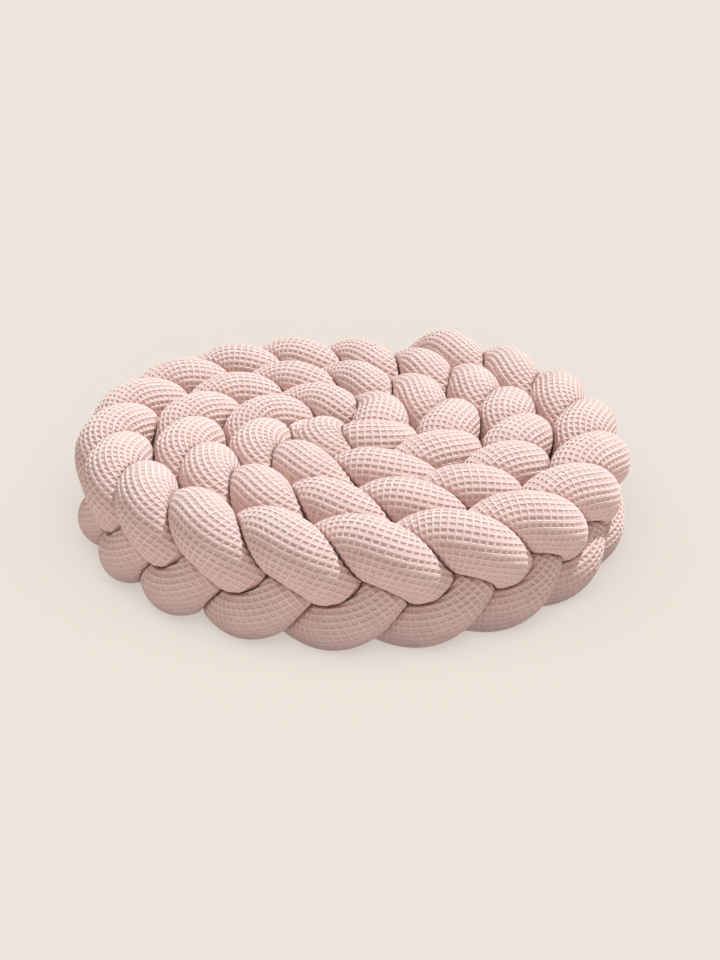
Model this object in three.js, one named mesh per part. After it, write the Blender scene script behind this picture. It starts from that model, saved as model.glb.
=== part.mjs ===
import * as THREE from "three";

// Sizes of the stuffed tubes, in millimetres. The fold share keeps a tube's wall from creasing through
// itself on the inside of a bend, where it faces parts of the tube farther off than the nearest ones.
const TUBE_RADIUS = 32.5;
const TUBE_GAP = 5.2;
const TUBE_SIDES = 10;
const FOLD_SHARE = 0.85;
const FOLD_NEAR = 6;
const ROUNDING = 8;

// How far off another part of a tube still presses on a wall, how far along its own tube a part still
// belongs to the same bend, and the reach of a wall that nothing presses on.
const PRESS_RANGE = 2.5 * TUBE_RADIUS;
const BEND_RANGE = 2.2 * TUBE_RADIUS;
const FREE_REACH = 4 * TUBE_RADIUS;

// The flat plait of three tubes: how far a tube rises and dips, how far it swings in and out, and how
// deep its lowest lobes are pressed flat by their own weight.
const TUBES = 3;
const PLAIT_RISE = 36.5;
const PLAIT_SWING = 11.5;
const FLOOR_PRESS = 4.5;
const STEPS_PER_LOBE = 6;

// Each tube closes in a round tip. Over its end lobes the plait is drawn down into a round bundle, where
// the three tips are sewn side by side: radius and height of the bundle's middles, and lobes it takes.
const TIP_LENGTH = 36;
const TIP_STEPS = 4;
const TIP_ROOM = 6;
const BUNDLE_RADIUS = 16;
const BUNDLE_HEIGHT = 42;
const BUNDLE_LOBES = 0.9;

// The coil of the plait standing on its edge, by half turns from the outer end inwards: radius of the
// plait's middle line and lobes passed on its top edge. The first and last rows lie past the ends.
const COIL_ANGLE = THREE.MathUtils.degToRad(74);
const OUTER_TURNS = -0.015;
const INNER_TURNS = 3.85;
const COIL = [
  { turns: -0.5, radius: 316, lobes: -9.7 },
  { turns: 0.0, radius: 287, lobes: 0.3 },
  { turns: 0.5, radius: 255, lobes: 10.2 },
  { turns: 1.0, radius: 213, lobes: 19.4 },
  { turns: 1.5, radius: 176, lobes: 27.6 },
  { turns: 2.0, radius: 141, lobes: 34.2 },
  { turns: 2.5, radius: 101, lobes: 38.9 },
  { turns: 3.0, radius: 69, lobes: 42.5 },
  { turns: 3.5, radius: 33, lobes: 44.8 },
  { turns: 4.0, radius: 14, lobes: 46.8 },
];
const PATH_STEPS = 2400;
const SAMPLES_PER_LOBE = 8;

const COTTON_PINK = 0xe3c0b8;
const COTTON_ROUGHNESS = 0.95;

// The plait's middle line, as points in the order of the lobes from the outer end to the inner one.
const coilRows = new THREE.SplineCurve(COIL.map((row) => new THREE.Vector2(row.radius, row.lobes)));
const tableTurns = COIL.at(-1).turns - COIL[0].turns;
const path = [];
for (let i = 0; i <= PATH_STEPS; i += 1) {
  const turns = THREE.MathUtils.lerp(OUTER_TURNS, INNER_TURNS, i / PATH_STEPS);
  const row = coilRows.getPoint((turns - COIL[0].turns) / tableTurns);
  const angle = COIL_ANGLE - 2 * Math.PI * turns;
  path.push({ lobes: row.y, angle, x: row.x * Math.cos(angle), y: row.x * Math.sin(angle) });
}
path.forEach((point, i) => {
  const before = path[Math.max(i - 1, 0)];
  const after = path[Math.min(i + 1, PATH_STEPS)];
  const quarter = point.angle - Math.PI / 2;
  const lean = Math.atan2(after.y - before.y, after.x - before.x) - quarter;
  point.heading = quarter + Math.atan2(Math.sin(lean), Math.cos(lean));
});
const firstLobe = path[0].lobes;
const lastLobe = path[PATH_STEPS].lobes;

// Value of one column of a list of rows where another, rising column has the given value.
function readOff(rows, wanted, known, value) {
  const found = rows.findIndex((row) => row[known] >= value);
  const next = THREE.MathUtils.clamp(found < 0 ? rows.length : found, 1, rows.length - 1);
  const low = rows[next - 1];
  const high = rows[next];
  return THREE.MathUtils.mapLinear(value, low[known], high[known], low[wanted], high[wanted]);
}

// Middle of one tube at a lobe count: up and over, then down and under, once in three lobes.
function tubeMiddle(tube, lobes) {
  const x = readOff(path, "x", "lobes", lobes);
  const y = readOff(path, "y", "lobes", lobes);
  const heading = readOff(path, "heading", "lobes", lobes);
  const fromEnd = Math.min(lobes - firstLobe, lastLobe - lobes);
  const plaited = THREE.MathUtils.smoothstep(fromEnd, 0, BUNDLE_LOBES);
  const phase = (2 * Math.PI * (1 + tube - lobes)) / TUBES;
  const rise = THREE.MathUtils.lerp(BUNDLE_RADIUS, PLAIT_RISE, plaited) * Math.cos(phase);
  const bundleSwing = BUNDLE_RADIUS * Math.sin(phase);
  const swing = THREE.MathUtils.lerp(bundleSwing, PLAIT_SWING * Math.sin(2 * phase), plaited);
  const height = THREE.MathUtils.lerp(BUNDLE_HEIGHT, PLAIT_RISE + TUBE_RADIUS - FLOOR_PRESS, plaited);
  return new THREE.Vector3(x - swing * Math.sin(heading), y + swing * Math.cos(heading), height + rise);
}

function tubeDirection(tube, lobes) {
  const step = 0.02;
  const low = Math.max(lobes - step, firstLobe);
  const high = Math.min(lobes + step, lastLobe);
  return tubeMiddle(tube, high).sub(tubeMiddle(tube, low)).normalize();
}

// Close samples of all three tubes, with the length run along each tube.
const samples = [];
for (let tube = 0; tube < TUBES; tube += 1) {
  const count = Math.round((lastLobe - firstLobe) * SAMPLES_PER_LOBE);
  let length = 0;
  for (let i = 0; i <= count; i += 1) {
    const lobes = THREE.MathUtils.lerp(firstLobe, lastLobe, i / count);
    const middle = tubeMiddle(tube, lobes);
    length += i > 0 ? middle.distanceTo(samples.at(-1).middle) : 0;
    samples.push({ tube, lobes, length, middle, direction: tubeDirection(tube, lobes) });
  }
}

// How far a tube's wall stands from its middle in one direction: its own radius, or less where it is
// squeezed halfway to a neighbour or folded on the inside of its own bend.
function wallReach(tube, length, middle, outward) {
  let limit = FREE_REACH;
  for (const sample of samples) {
    const away = sample.middle.clone().sub(middle);
    const distance = away.length();
    const ownBend = sample.tube === tube && Math.abs(sample.length - length) < BEND_RANGE;
    if (distance > PRESS_RANGE || (ownBend && distance < FOLD_NEAR)) {
      continue;
    }
    const lean = ownBend ? outward.dot(sample.direction) : away.dot(outward);
    const room = ownBend ? FOLD_SHARE * away.dot(sample.direction) : (distance * (distance - TUBE_GAP)) / 2;
    if (room * lean > 0 && (ownBend || lean > 0)) {
      limit = Math.min(limit, room / lean);
    }
  }
  return (TUBE_RADIUS ** -ROUNDING + limit ** -ROUNDING) ** (-1 / ROUNDING);
}

// Sections of one tube: even steps of its lobes, with closer and smaller ones in the round tips.
function tubeSections(tubeSamples) {
  const fullLength = tubeSamples.at(-1).length;
  const sections = [];
  for (let i = 1; i <= TIP_STEPS; i += 1) {
    const closing = (Math.PI / 2) * (i / TIP_STEPS);
    const inset = TIP_LENGTH * (1 - Math.cos(closing));
    for (const length of [inset, fullLength - inset]) {
      const lobes = readOff(tubeSamples, "lobes", "length", length);
      sections.push({ length, lobes, share: Math.sin(closing) });
    }
  }
  for (let step = Math.floor(firstLobe * STEPS_PER_LOBE); step < lastLobe * STEPS_PER_LOBE; step += 1) {
    const lobes = (step + 0.5) / STEPS_PER_LOBE;
    const length = readOff(tubeSamples, "length", "lobes", lobes);
    if (length > TIP_LENGTH + TIP_ROOM && length < fullLength - TIP_LENGTH - TIP_ROOM) {
      sections.push({ length, lobes, share: 1 });
    }
  }
  return sections.sort((a, b) => a.length - b.length);
}

// One stuffed tube: a closed skin through rings of wall points, flat where it lies on the floor. Between
// two rings the skin is creased along the fuller of the two ways across.
function stuffedTube(tube) {
  const tubeSamples = samples.filter((sample) => sample.tube === tube);
  const sections = tubeSections(tubeSamples);
  const middles = sections.map((section) => tubeMiddle(tube, section.lobes));
  const points = [];
  sections.forEach((section, ring) => {
    const middle = middles[ring];
    const along = tubeDirection(tube, section.lobes);
    const side = new THREE.Vector3().crossVectors(along, new THREE.Vector3(0, 0, 1)).normalize();
    const up = new THREE.Vector3().crossVectors(side, along);
    for (let i = 0; i < TUBE_SIDES; i += 1) {
      const turn = (2 * Math.PI * (i + 0.5)) / TUBE_SIDES - Math.PI / 2;
      const outward = side.clone().multiplyScalar(Math.cos(turn)).addScaledVector(up, Math.sin(turn));
      const reach = section.share * wallReach(tube, section.length, middle, outward);
      const point = middle.clone().addScaledVector(outward, reach);
      points.push(point.x, point.y, Math.max(point.z, 0));
    }
  });
  const corner = (i) => new THREE.Vector3().fromArray(points, 3 * i);
  const faces = [];
  for (let ring = 0; ring + 1 < sections.length; ring += 1) {
    const core = middles[ring].clone().add(middles[ring + 1]);
    for (let i = 0; i < TUBE_SIDES; i += 1) {
      const a = ring * TUBE_SIDES + i;
      const b = ring * TUBE_SIDES + ((i + 1) % TUBE_SIDES);
      const c = a + TUBE_SIDES;
      const d = b + TUBE_SIDES;
      const fuller = corner(a).add(corner(d)).distanceTo(core) > corner(b).add(corner(c)).distanceTo(core);
      faces.push(...(fuller ? [a, c, d, a, d, b] : [a, c, b, b, c, d]));
    }
  }
  const tips = [tubeSamples[0].middle, tubeSamples.at(-1).middle];
  tips.forEach((tip, end) => {
    const apex = points.length / 3;
    const ring = end * (sections.length - 1) * TUBE_SIDES;
    points.push(tip.x, tip.y, tip.z);
    for (let i = 0; i < TUBE_SIDES; i += 1) {
      const a = ring + i;
      const b = ring + ((i + 1) % TUBE_SIDES);
      faces.push(apex, ...(end ? [b, a] : [a, b]));
    }
  });
  const geometry = new THREE.BufferGeometry();
  geometry.setAttribute("position", new THREE.Float32BufferAttribute(points, 3));
  geometry.setIndex(faces);
  return geometry;
}

// The finished bumper, set with the middle of its foot at the origin.
const group = new THREE.Group();
for (let tube = 0; tube < TUBES; tube += 1) {
  const cotton = new THREE.MeshStandardMaterial({
    color: COTTON_PINK,
    roughness: COTTON_ROUGHNESS,
    metalness: 0,
  });
  const strand = new THREE.Mesh(stuffedTube(tube), cotton);
  strand.name = `strand_${tube + 1}`;
  group.add(strand);
}
const foot = new THREE.Box3().setFromObject(group).getCenter(new THREE.Vector3());
group.children.forEach((strand) => strand.geometry.translate(-foot.x, -foot.y, 0));

export default group;
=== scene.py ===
import math

import bmesh
import bpy
import numpy as np
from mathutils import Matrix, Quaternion, Vector


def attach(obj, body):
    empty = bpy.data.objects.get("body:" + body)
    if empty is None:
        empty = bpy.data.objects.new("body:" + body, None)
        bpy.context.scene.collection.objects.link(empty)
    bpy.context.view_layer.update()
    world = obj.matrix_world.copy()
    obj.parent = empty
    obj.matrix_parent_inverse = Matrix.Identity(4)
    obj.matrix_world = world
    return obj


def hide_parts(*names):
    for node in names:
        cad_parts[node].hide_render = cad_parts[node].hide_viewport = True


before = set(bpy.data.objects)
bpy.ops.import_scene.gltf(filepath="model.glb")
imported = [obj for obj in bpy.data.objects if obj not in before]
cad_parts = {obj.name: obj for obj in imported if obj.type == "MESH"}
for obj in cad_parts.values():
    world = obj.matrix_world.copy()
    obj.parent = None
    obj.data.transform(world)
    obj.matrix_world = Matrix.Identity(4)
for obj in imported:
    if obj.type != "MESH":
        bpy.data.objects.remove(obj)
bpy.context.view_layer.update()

# The three stuffed tubes, which are the whole bumper. Each is sewn from pink waffle cotton, packed firmly
# with soft filling and closed at both ends. They are plaited flat, and the plait is wound up on its edge,
# so every tube rises over its neighbours, presses against them and dips under them again.
tubes = 3
tube_radius = 0.0325
plait_rise = 0.0365
plait_swing = 0.0115
floor_press = 0.0045
tip_length = 0.036

# The coil that the plait is wound into, by half turns from the outer end inwards: radius of the plait's
# middle line, and lobes passed on its top edge. The first and last rows lie past the ends of the plait.
coil_angle = math.radians(74)
outer_turns = -0.015
inner_turns = 3.85
coil_centre = (-0.01775, -0.00846)
coil_rows = np.array(
    [
        (-0.5, 0.316, -9.7),
        (0.0, 0.287, 0.3),
        (0.5, 0.255, 10.2),
        (1.0, 0.213, 19.4),
        (1.5, 0.176, 27.6),
        (2.0, 0.141, 34.2),
        (2.5, 0.101, 38.9),
        (3.0, 0.069, 42.5),
        (3.5, 0.033, 44.8),
        (4.0, 0.014, 46.8),
    ],
    dtype=[("turns", float), ("radius", float), ("lobes", float)],
)
path_steps = 2400


def between_rows(column, turns):
    """One column of the coil's rows as a smooth curve over the turns."""
    last = len(coil_rows) - 1
    place = (turns - coil_rows["turns"][0]) / (coil_rows["turns"][1] - coil_rows["turns"][0])
    row = np.clip(place.astype(int), 1, last - 1)
    part = place - row
    before = coil_rows[column][row - 1]
    start = coil_rows[column][row]
    end = coil_rows[column][row + 1]
    after = coil_rows[column][np.minimum(row + 2, last)]
    bend = 2 * before - 5 * start + 4 * end - after
    twist = 3 * (start - end) + after - before
    return start + 0.5 * part * (end - before + part * (bend + part * twist))


path_turns = np.linspace(outer_turns, inner_turns, path_steps + 1)
path_angle = coil_angle - 2 * math.pi * path_turns
path_radius = between_rows("radius", path_turns)
path_lobes = between_rows("lobes", path_turns)
path_x = path_radius * np.cos(path_angle) + coil_centre[0]
path_y = path_radius * np.sin(path_angle) + coil_centre[1]
path_heading = np.unwrap(np.arctan2(np.gradient(path_y), np.gradient(path_x)))

# The way of each tube through the plait: up and over, then down and under, once in three lobes. At both
# ends the plait is drawn down into a small round bundle, where the three tips lie side by side.
bundle_radius = 0.016
bundle_height = 0.042
bundle_lobes = 0.9
tube_steps = 900


def tube_middle(tube, lobes):
    """Points on the middle line of one tube at these lobe counts."""
    from_end = np.clip(np.minimum(lobes - path_lobes[0], path_lobes[-1] - lobes) / bundle_lobes, 0, 1)
    plaited = from_end**2 * (3 - 2 * from_end)
    bundled = 1 - plaited
    phase = 2 * math.pi * (1 + tube - lobes) / tubes
    heading = np.interp(lobes, path_lobes, path_heading)
    swing = plaited * plait_swing * np.sin(2 * phase) + bundled * bundle_radius * np.sin(phase)
    x = np.interp(lobes, path_lobes, path_x) - swing * np.sin(heading)
    y = np.interp(lobes, path_lobes, path_y) + swing * np.cos(heading)
    height = plaited * (plait_rise + tube_radius - floor_press) + bundled * bundle_height
    z = height + (plaited * plait_rise + bundled * bundle_radius) * np.cos(phase)
    return np.stack([x, y, z], axis=1)


def unit(vectors):
    """The same vectors, at a length of one."""
    return vectors / np.linalg.norm(vectors, axis=-1, keepdims=True)


sample_lobes = np.linspace(path_lobes[0], path_lobes[-1], tube_steps + 1)
sample_middle = [tube_middle(tube, sample_lobes) for tube in range(tubes)]
sample_along = [unit(np.gradient(middle, axis=0)) for middle in sample_middle]
sample_length = [
    np.concatenate([[0], np.cumsum(np.linalg.norm(np.diff(middle, axis=0), axis=1))])
    for middle in sample_middle
]

# The squeeze: a packed tube is round until a neighbour presses on it, and then the two meet halfway. On the
# inside of its own bend a tube's wall stops short of the point where it would crease through itself. The
# rounding sets how sharply the round wall turns into the pressed one.
tube_gap = 0.0006
rounding = 14
press_range = 2.5 * tube_radius
bend_range = 2.2 * tube_radius
free_reach = 4 * tube_radius
fold_share = 0.85
fold_near = 0.006


def nearest_stop(room, lean):
    """Shortest reach in each direction at which the room ahead is used up, or the free reach."""
    reach = np.full(lean.shape, free_reach)
    np.divide(room, lean, out=reach, where=room * lean > 0)
    return reach.min(axis=1, initial=free_reach)


def wall_reach(tube, length, middle, directions):
    """How far a tube's wall stands from its middle in each direction, squeezed by its neighbours."""
    limit = np.full(len(directions), free_reach)
    for other in range(tubes):
        away = sample_middle[other] - middle
        distance = np.linalg.norm(away, axis=1)
        near = distance < press_range
        own_bend = (other == tube) & (np.abs(sample_length[other] - length) < bend_range)
        press = near & ~own_bend
        room = distance[press] * (distance[press] - tube_gap) / 2
        limit = np.minimum(limit, nearest_stop(room, directions @ away[press].T))
        fold = near & own_bend & (distance > fold_near)
        ahead = fold_share * (away[fold] * sample_along[other][fold]).sum(axis=1)
        limit = np.minimum(limit, nearest_stop(ahead, directions @ sample_along[other][fold].T))
    return (tube_radius**-rounding + limit**-rounding) ** (-1 / rounding)


# The cloth's waffle: raised ribs along the tube, thinner raised threads across it, and a sunk flat cell in
# every mesh of that net. Away from the tips the cloth is plain where the tubes press on each other, and a
# painted shade darkens the creases. Rib, thread and slope are shares of a cell, and the other shares are
# of the tube's radius.
cells_round = 30
cell_size = 0.0072
cell_depth = 0.0013
rib_share = 0.24
thread_share = 0.12
slope_share = 0.17
bend_share = 0.75
touching_share = 0.929
# The painted crease shade begins where the wall is squeezed to crease_start of the radius, full at
# crease_end.
crease_start = 0.965
crease_end = 0.87
tip_cells = 9
heading_step = 0.02

# Cells counted along each tube. A bend takes more of them, because the tube's outer side is longer there.
cell_count = []
for tube in range(tubes):
    bend = np.linalg.norm(np.gradient(sample_along[tube], sample_length[tube], axis=0), axis=1)
    step = (1 + bend_share * tube_radius * bend) * np.gradient(sample_length[tube]) / cell_size
    count = np.cumsum(step) - step[0]
    cell_count.append(count * round(count[-1]) / count[-1])


def tube_wall(tube, along, around, sink):
    """Points on one tube's wall at cloth places counted in cells, sunk by a depth, and the wall's reach."""
    full = sample_length[tube][-1]
    turn = 2 * math.pi * around / cells_round - math.pi / 2
    points = np.empty((len(along), len(around), 3))
    reach = np.empty((len(along), len(around)))
    for ring, lobes in enumerate(np.interp(along, cell_count[tube], sample_lobes)):
        length = np.interp(lobes, sample_lobes, sample_length[tube])
        stations = np.array([lobes - heading_step, lobes, lobes + heading_step])
        behind, middle, ahead = tube_middle(tube, stations)
        forward = unit(ahead - behind)
        side = unit(np.cross(forward, (0, 0, 1)))
        outward = np.outer(np.cos(turn), side) + np.outer(np.sin(turn), np.cross(side, forward))
        closing = 1 - min(length, full - length, tip_length) / tip_length
        reach[ring] = wall_reach(tube, length, middle, outward)
        points[ring] = middle + math.sqrt(1 - closing**2) * (reach[ring] - sink)[:, None] * outward
    points[..., 2] = np.maximum(points[..., 2], 0)
    return points, reach


def waffle_tube(tube):
    """Points of one tube's cloth, its faces, the cloth place of each face corner, which points are sunk into
    cells and get the painted cell shade, and how much painted crease shade each point gets."""
    # The net of ribs and threads, and the sunk floors of the cells, as points on the wall.
    rows = round(cell_count[tube][-1])
    net_along = np.sort(np.concatenate([np.arange(1, rows), np.arange(rows) + thread_share]))
    net_around = np.add.outer(np.arange(cells_round), (0, rib_share)).ravel()
    cell_along = np.add.outer(np.arange(rows - 1), (thread_share + slope_share, 1 - slope_share)).ravel()
    cell_around = np.add.outer(np.arange(cells_round), (rib_share + slope_share, 1 - slope_share)).ravel()
    net, net_reach = tube_wall(tube, net_along, net_around, 0)
    cells, reach = tube_wall(tube, cell_along, cell_around, cell_depth)
    points = np.concatenate([net.reshape(-1, 3), cells.reshape(-1, 3), sample_middle[tube][[0, -1]]])
    widest = reach.reshape(rows - 1, 2, cells_round, 2).max(axis=(1, 3))
    plain = np.zeros((rows, cells_round), bool)
    plain[tip_cells:-tip_cells] = widest[tip_cells : 1 - tip_cells] < touching_share * tube_radius

    # Corners of the net, with a spare column where the cloth's two sides meet, so each has one cloth place.
    rings, sides = net.shape[:2]
    corner = np.arange(rings * (sides + 1)).reshape(rings, sides + 1)
    sunk = corner.size + np.arange(cells.shape[0] * sides).reshape(-1, sides)
    tip = sunk.max() + np.array([1, 2])
    net_points = np.arange(rings)[:, None] * sides + np.arange(sides + 1) % sides
    point_of_corner = np.concatenate([net_points.ravel(), np.arange(rings * sides, len(points))])
    net_places = np.stack(np.meshgrid(net_along, np.append(net_around, cells_round), indexing="ij"), -1)
    cell_places = np.stack(np.meshgrid(cell_along, cell_around, indexing="ij"), -1)
    tip_places = [(0, cells_round / 2), (rows, cells_round / 2)]
    place_of_corner = np.concatenate([net_places.reshape(-1, 2), cell_places.reshape(-1, 2), tip_places])

    def quads(near, far, left, right):
        """Faces between two sets of rows, each from a left column to a right one."""
        return np.stack([near[:, left], far[:, left], far[:, right], near[:, right]], -1)

    # Waffle cells: the threads across, the rib beside each cell, the cell's floor and its four slopes.
    at_rib, past_rib, next_rib = slice(0, -1, 2), slice(1, None, 2), slice(2, None, 2)
    faces = quads(corner[1::2], corner[2::2], at_rib, past_rib)[~plain[1:]].tolist()
    faces += quads(corner[1::2], corner[2::2], past_rib, next_rib)[~plain[1:]].tolist()
    faces += quads(corner[:-1:2], corner[1::2], at_rib, past_rib)[~plain[:-1]].tolist()
    rims = quads(corner[:-1:2], corner[1::2], past_rib, next_rib)[~plain[:-1]]
    floors = quads(sunk[::2], sunk[1::2], slice(0, None, 2), slice(1, None, 2))[~plain[:-1]]
    faces += floors.tolist()
    for i in range(4):
        k = (i + 1) % 4
        faces += np.column_stack([rims[:, i], rims[:, k], floors[:, k], floors[:, i]]).tolist()

    # Plain cells: one face each, which takes in the corners that a waffle cell beside it uses.
    for row, cell in np.argwhere(plain):
        near, middle, far = corner[2 * row - 1 : 2 * row + 2, 2 * cell : 2 * cell + 3].tolist()
        outline = [near[0]] if plain[row, cell - 1] else [near[0], middle[0]]
        outline += far[:1] if plain[row + 1, cell] else far[:2]
        outline += [far[2]] if plain[row, (cell + 1) % cells_round] else [far[2], middle[2]]
        outline += [near[2]] if plain[row - 1, cell] else [near[2], near[1]]
        faces.append(outline)

    # Fans that close the two tips.
    faces += np.column_stack([np.full(sides, tip[0]), corner[0, :-1], corner[0, 1:]]).tolist()
    faces += np.column_stack([np.full(sides, tip[1]), corner[-1, 1:], corner[-1, :-1]]).tolist()

    # The points that the faces use, and their painted shades. The painted crease shade fades out on the open
    # tips.
    corners = np.concatenate(faces)
    used, numbers = np.unique(point_of_corner[corners], return_inverse=True)
    face_ends = np.cumsum([len(face) for face in faces])
    # Painted shade: the points sunk into the cells get a darker colour.
    painted_cell_shade = (used >= rings * sides) & (used < len(points) - 2)
    reach_share = np.concatenate([net_reach.ravel(), reach.ravel(), [tube_radius] * 2]) / tube_radius
    # Painted shade in the creases: the more a point is squeezed, the darker its colour.
    painted_crease_shade = np.clip((crease_start - reach_share[used]) / (crease_start - crease_end), 0, 1)
    along = np.concatenate([np.repeat(net_along, sides), np.repeat(cell_along, sides), [0, rows]])[used]
    past_tip = np.minimum(along, rows - along) - tip_cells / 2
    painted_crease_shade *= np.clip(past_tip / tip_cells, 0, 1)
    return points[used], np.split(numbers, face_ends[:-1]), place_of_corner[corners], painted_cell_shade, painted_crease_shade


# Dusty pink cotton, matt with a soft nap. Fine threads run along it, its colour wanders a little from place
# to place, and painted shade darkens the sunk cells a little and the creases more.
cotton = bpy.data.materials.new("waffle_cotton")
cotton.use_nodes = True
nodes = cotton.node_tree.nodes
links = cotton.node_tree.links
cloth_shader = nodes["Principled BSDF"]
cloth_shader.inputs["Roughness"].default_value = 0.92
cloth_shader.inputs["Specular IOR Level"].default_value = 0.15
cloth_shader.inputs["Sheen Weight"].default_value = 0.25
cloth_shader.inputs["Sheen Roughness"].default_value = 0.5
cloth_shader.inputs["Sheen Tint"].default_value = (1.0, 0.9, 0.87, 1)
cloth_place = nodes.new("ShaderNodeUVMap")
cloth_place.uv_map = "cloth"
yarn_patches = nodes.new("ShaderNodeTexNoise")
yarn_patches.inputs["Scale"].default_value = 0.35
yarn_patches.inputs["Detail"].default_value = 4
links.new(cloth_place.outputs["UV"], yarn_patches.inputs["Vector"])
yarn_colour = nodes.new("ShaderNodeValToRGB")
yarn_colour.color_ramp.elements[0].position = 0.3
yarn_colour.color_ramp.elements[0].color = (0.815, 0.606, 0.550, 1)
yarn_colour.color_ramp.elements[1].position = 0.7
yarn_colour.color_ramp.elements[1].color = (0.865, 0.658, 0.602, 1)
links.new(yarn_patches.outputs["Fac"], yarn_colour.inputs["Fac"])
cloth_colour = yarn_colour.outputs["Color"]
# Painted shade: the cell and crease masks multiply the cloth's colour by these darker colours.
for shade_name, shade_colour in (("painted_cell_shade", (0.88, 0.845, 0.84, 1)), ("painted_crease_shade", (0.50, 0.34, 0.32, 1))):
    shaded_part = nodes.new("ShaderNodeAttribute")
    shaded_part.attribute_name = shade_name
    shade = nodes.new("ShaderNodeMix")
    shade.data_type = "RGBA"
    shade.blend_type = "MULTIPLY"
    shade.inputs["B"].default_value = shade_colour
    links.new(shaded_part.outputs["Fac"], shade.inputs["Factor"])
    links.new(cloth_colour, shade.inputs["A"])
    cloth_colour = shade.outputs["Result"]
links.new(cloth_colour, cloth_shader.inputs["Base Color"])
threads_along = nodes.new("ShaderNodeTexWave")
threads_along.bands_direction = "Y"
threads_along.inputs["Scale"].default_value = 1.25
threads_along.inputs["Distortion"].default_value = 1.5
threads_along.inputs["Detail Scale"].default_value = 3.0
links.new(cloth_place.outputs["UV"], threads_along.inputs["Vector"])
thread_bump = nodes.new("ShaderNodeBump")
thread_bump.inputs["Strength"].default_value = 0.35
thread_bump.inputs["Distance"].default_value = 0.0004
links.new(threads_along.outputs["Fac"], thread_bump.inputs["Height"])
links.new(thread_bump.outputs["Normal"], cloth_shader.inputs["Normal"])

# Each tube's cloth as one closed skin. A second map lays the cloth out for baking its colours, in strips side
# by side, with a margin beside each strip and spare rows at its ends.
rib_edge_angle = math.radians(25)
bake_strips = 5
strip_margin = 0.03
rows_before = 1
rows_after = 2
lit_by_key = bpy.data.collections.new("lit_by_key")
for tube in range(tubes):
    points, faces, places, painted_cell_shade, painted_crease_shade = waffle_tube(tube)
    mesh = bpy.data.meshes.new(f"stuffed_tube_{tube + 1}")
    mesh.from_pydata(points.tolist(), [], [face.tolist() for face in faces])
    mesh.polygons.foreach_set("use_smooth", np.ones(len(faces), bool))
    mesh.set_sharp_from_angle(angle=rib_edge_angle)
    # The masks of the painted cell shade and the painted crease shade.
    for shade_name, depth in (("painted_cell_shade", painted_cell_shade), ("painted_crease_shade", painted_crease_shade)):
        mesh.attributes.new(shade_name, "FLOAT", "POINT").data.foreach_set("value", depth.astype(np.float32))
    mesh.uv_layers.new(name="cloth").uv.foreach_set("vector", places.astype(np.float32).ravel())
    corner_counts = [len(face) for face in faces]
    strip_rows = math.ceil(places[:, 0].max() / bake_strips)
    strip = np.minimum.reduceat(places[:, 0], np.cumsum([0] + corner_counts[:-1])) // strip_rows
    strip = np.repeat(np.minimum(strip, bake_strips - 1), corner_counts)
    across = (strip + strip_margin + (1 - 2 * strip_margin) * places[:, 1] / cells_round) / bake_strips
    down = (places[:, 0] - strip * strip_rows + rows_before) / (strip_rows + rows_before + rows_after)
    bake = np.column_stack([across, down]).astype(np.float32)
    mesh.uv_layers.new(name="OFBake").uv.foreach_set("vector", bake.ravel())
    mesh.materials.append(cotton)
    strand = bpy.data.objects.new(f"stuffed_tube_{tube + 1}", mesh)
    bpy.context.collection.objects.link(strand)
    lit_by_key.objects.link(strand)
    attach(strand, "root")
    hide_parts(f"strand_{tube + 1}")

# A plain pale floor under the coil. Most of its brightness is its own glow, so the coil's shadow on it is
# faint. It throws no light on the coil: the ring below stands for the light that a floor throws up.
pale_colour = (0.847, 0.776, 0.708, 1)
floor_half = 14.0
floor_corners = [(-1, -1), (1, -1), (1, 1), (-1, 1)]
floor_mesh = bpy.data.meshes.new("floor")
floor_mesh.from_pydata([(floor_half * x, floor_half * y, 0) for x, y in floor_corners], [], [(0, 1, 2, 3)])
floor_paint = bpy.data.materials.new("pale_floor")
floor_paint.use_nodes = True
floor_shader = floor_paint.node_tree.nodes["Principled BSDF"]
floor_shader.inputs["Base Color"].default_value = (0.254, 0.236, 0.215, 1)
floor_shader.inputs["Emission Color"].default_value = pale_colour
floor_shader.inputs["Emission Strength"].default_value = 0.6
floor_shader.inputs["Roughness"].default_value = 0.95
floor_shader.inputs["Specular IOR Level"].default_value = 0.0
floor_mesh.materials.append(floor_paint)
floor = bpy.data.objects.new("floor", floor_mesh)
floor.visible_diffuse = False
floor.visible_shadow = False
bpy.context.collection.objects.link(floor)
lit_by_wash = bpy.data.collections.new("lit_by_wash")
lit_by_wash.objects.link(floor)

# A glowing ring just under the floor, hidden by it, for the light that the floor throws up at the coil. It
# begins a little way outside the coil, so the lowest edges of the tubes stay darker.
round_segments = 96
glow_inner_radius = 0.35
glow_outer_radius = 4.0
glow_depth = 0.002


def glowing_paint(name, strength):
    """Paint that gives off the floor's pale colour and reflects nothing."""
    paint = bpy.data.materials.new(name)
    paint.use_nodes = True
    shader = paint.node_tree.nodes["Principled BSDF"]
    shader.inputs["Base Color"].default_value = (0, 0, 0, 1)
    shader.inputs["Specular IOR Level"].default_value = 0.0
    shader.inputs["Emission Color"].default_value = pale_colour
    shader.inputs["Emission Strength"].default_value = strength
    return paint


glow_form = bmesh.new()
for radius in (glow_inner_radius, glow_outer_radius):
    bmesh.ops.create_circle(glow_form, segments=round_segments, radius=radius)
bmesh.ops.bridge_loops(glow_form, edges=glow_form.edges)
bmesh.ops.translate(glow_form, verts=glow_form.verts, vec=(0, 0, -glow_depth))
glow_mesh = bpy.data.meshes.new("floor_glow")
glow_form.to_mesh(glow_mesh)
glow_form.free()
glow_mesh.materials.append(glowing_paint("floor_glow", 1.22))
floor_glow = bpy.data.objects.new("floor_glow", glow_mesh)
bpy.context.collection.objects.link(floor_glow)

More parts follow.
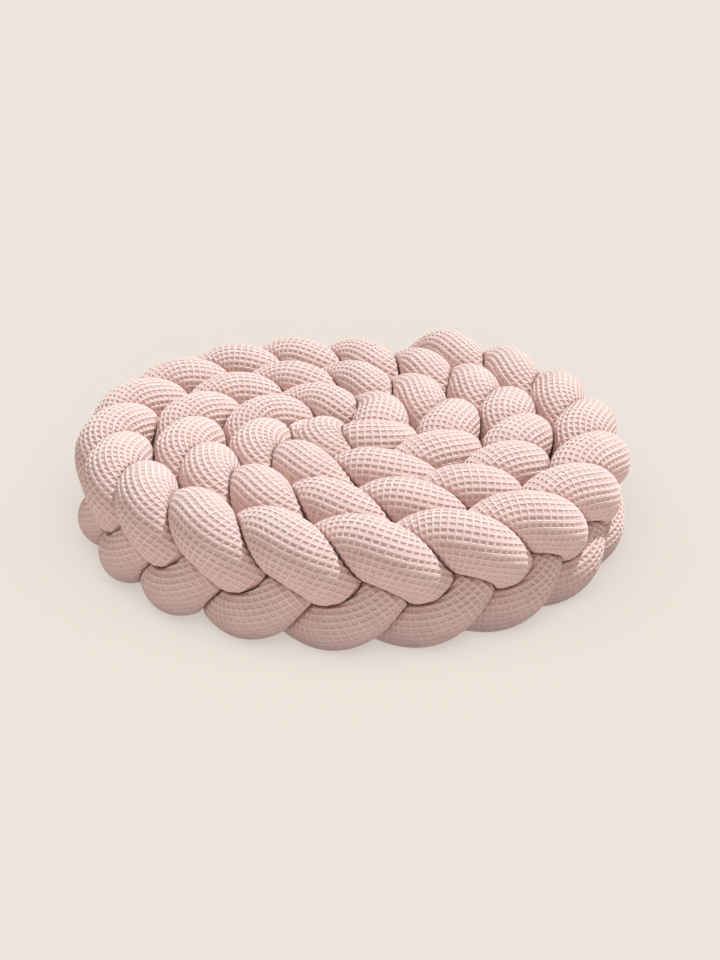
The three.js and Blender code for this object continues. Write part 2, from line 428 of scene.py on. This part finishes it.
# A plain round backdrop far off, in the colour of the lit floor, so that low views have no horizon. Only the
# camera sees it: it lights nothing and throws no shadow.
backdrop_radius = 13.0
backdrop_height = 8.0
backdrop_form = bmesh.new()
bmesh.ops.create_cone(
    backdrop_form,
    segments=round_segments,
    radius1=backdrop_radius,
    radius2=backdrop_radius,
    depth=2 * backdrop_height,
)
backdrop_mesh = bpy.data.meshes.new("backdrop")
backdrop_form.to_mesh(backdrop_mesh)
backdrop_form.free()
backdrop_mesh.materials.append(glowing_paint("pale_backdrop", 1.0))
backdrop = bpy.data.objects.new("backdrop", backdrop_mesh)
backdrop.visible_diffuse = False
backdrop.visible_glossy = False
backdrop.visible_shadow = False
bpy.context.collection.objects.link(backdrop)

# Studio light. A small hard key from behind on the right and three soft lamps, in front and at both sides,
# fall on the bumper alone. Three soft washes, from the front and both sides, fall on the floor alone. The
# room adds a weak even fill. Each lamp has its strength, spread in degrees, direction, colour and receivers.
lamps = [
    ("key_light", 4.5, 1.0, (0.33, 0.36, 0.872), (0.86, 0.96, 1.0), lit_by_key),
    ("front_lamp", 0.62, 40, (0.0, -1.0, 0.25), (1.0, 0.90, 0.93), lit_by_key),
    ("right_lamp", 0.10, 50, (1.0, 0.0, 1.0), (1.0, 0.94, 0.95), lit_by_key),
    ("left_lamp", 0.25, 50, (-1.0, 0.0, 1.0), (1.0, 0.94, 0.95), lit_by_key),
    ("floor_wash", 3.02, 60, (0.0, -1.0, 0.8), (1.0, 1.0, 1.0), lit_by_wash),
    ("floor_wash_right", 0.95, 60, (1.0, 0.0, 1.8), (1.0, 1.0, 1.0), lit_by_wash),
    ("floor_wash_left", 0.95, 60, (-1.0, 0.0, 1.8), (1.0, 1.0, 1.0), lit_by_wash),
]
for name, strength, spread, towards, colour, receivers in lamps:
    light = bpy.data.lights.new(name, "SUN")
    light.energy = strength
    light.angle = math.radians(spread)
    light.color = colour
    lamp = bpy.data.objects.new(name, light)
    lamp.rotation_euler = Vector(towards).to_track_quat("Z", "Y").to_euler()
    lamp.light_linking.receiver_collection = receivers
    bpy.context.collection.objects.link(lamp)
room = bpy.data.worlds.new("studio")
room.use_nodes = True
room.node_tree.nodes["Background"].inputs["Color"].default_value = (1.0, 0.97, 0.97, 1)
room.node_tree.nodes["Background"].inputs["Strength"].default_value = 0.20
bpy.context.scene.world = room
bpy.context.scene.view_settings.view_transform = "Standard"

# The camera stands in front of the coil and looks down on it, turned a little on its own axis. It aims at
# half the coil's height over the middle of its turns.
camera_tilt = math.radians(25.0)
camera_roll = math.radians(1.5)
camera_distance = 1.848
aim_height = 0.0657
lens = bpy.data.cameras.new("camera")
lens.sensor_fit = "HORIZONTAL"
lens.sensor_width = 36
lens.lens = 84
lens.shift_x = 0.032
lens.shift_y = -0.0175
lens.clip_end = 60
camera = bpy.data.objects.new("camera", lens)
aim = Vector((coil_centre[0], coil_centre[1], aim_height))
back = Vector((0, -math.cos(camera_tilt), math.sin(camera_tilt)))
camera.location = aim + camera_distance * back
camera.rotation_euler = (back.to_track_quat("Z", "Y") @ Quaternion((0, 0, 1), camera_roll)).to_euler()
bpy.context.collection.objects.link(camera)
bpy.context.scene.camera = camera

bpy.context.view_layer.update()
